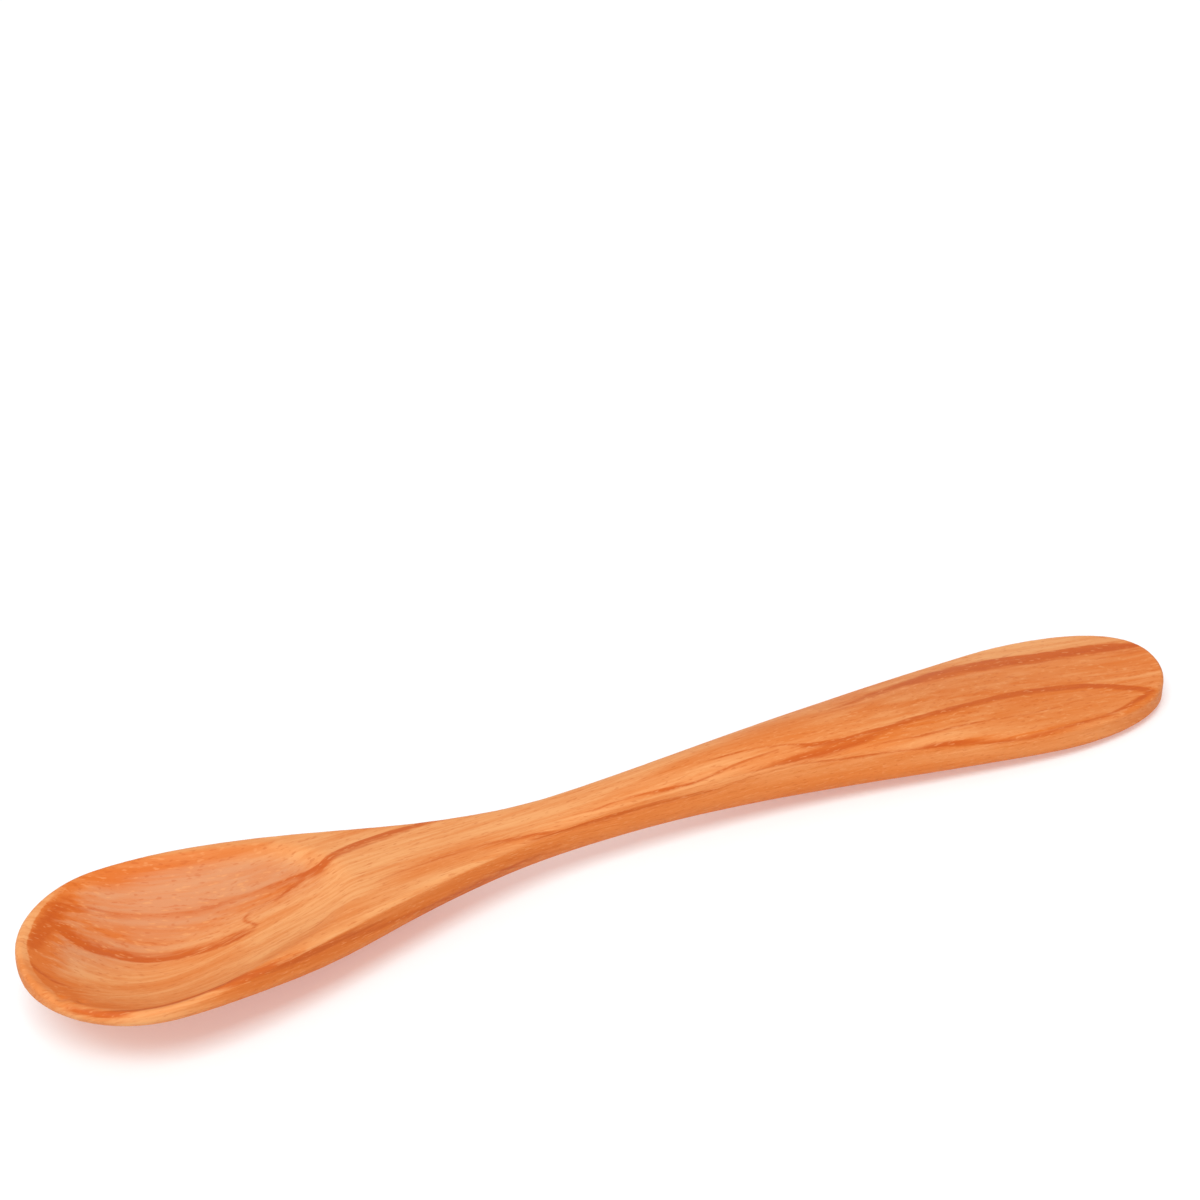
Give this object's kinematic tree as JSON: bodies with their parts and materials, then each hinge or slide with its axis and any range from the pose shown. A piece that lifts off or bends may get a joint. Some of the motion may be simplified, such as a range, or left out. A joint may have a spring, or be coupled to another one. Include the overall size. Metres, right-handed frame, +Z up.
{
  "type": "wooden spoon",
  "caption": "Small carved wooden spoon: shallow egg-shaped bowl, slim neck, and a handle that widens into a flat rounded paddle.",
  "frame": {"origin": "centre of the length and width, at the level of the table that the spoon lies on", "axes": "+X along the spoon from the tip of the bowl to the end of the handle, +Z up out of the hollow of the bowl"},
  "size_m": [0.16, 0.0284, 0.0107],
  "materials": {
    "wood": "oiled, satin"
  },
  "bodies": {
    "root": {"spoon": "wood"}
  },
  "joints": []
}
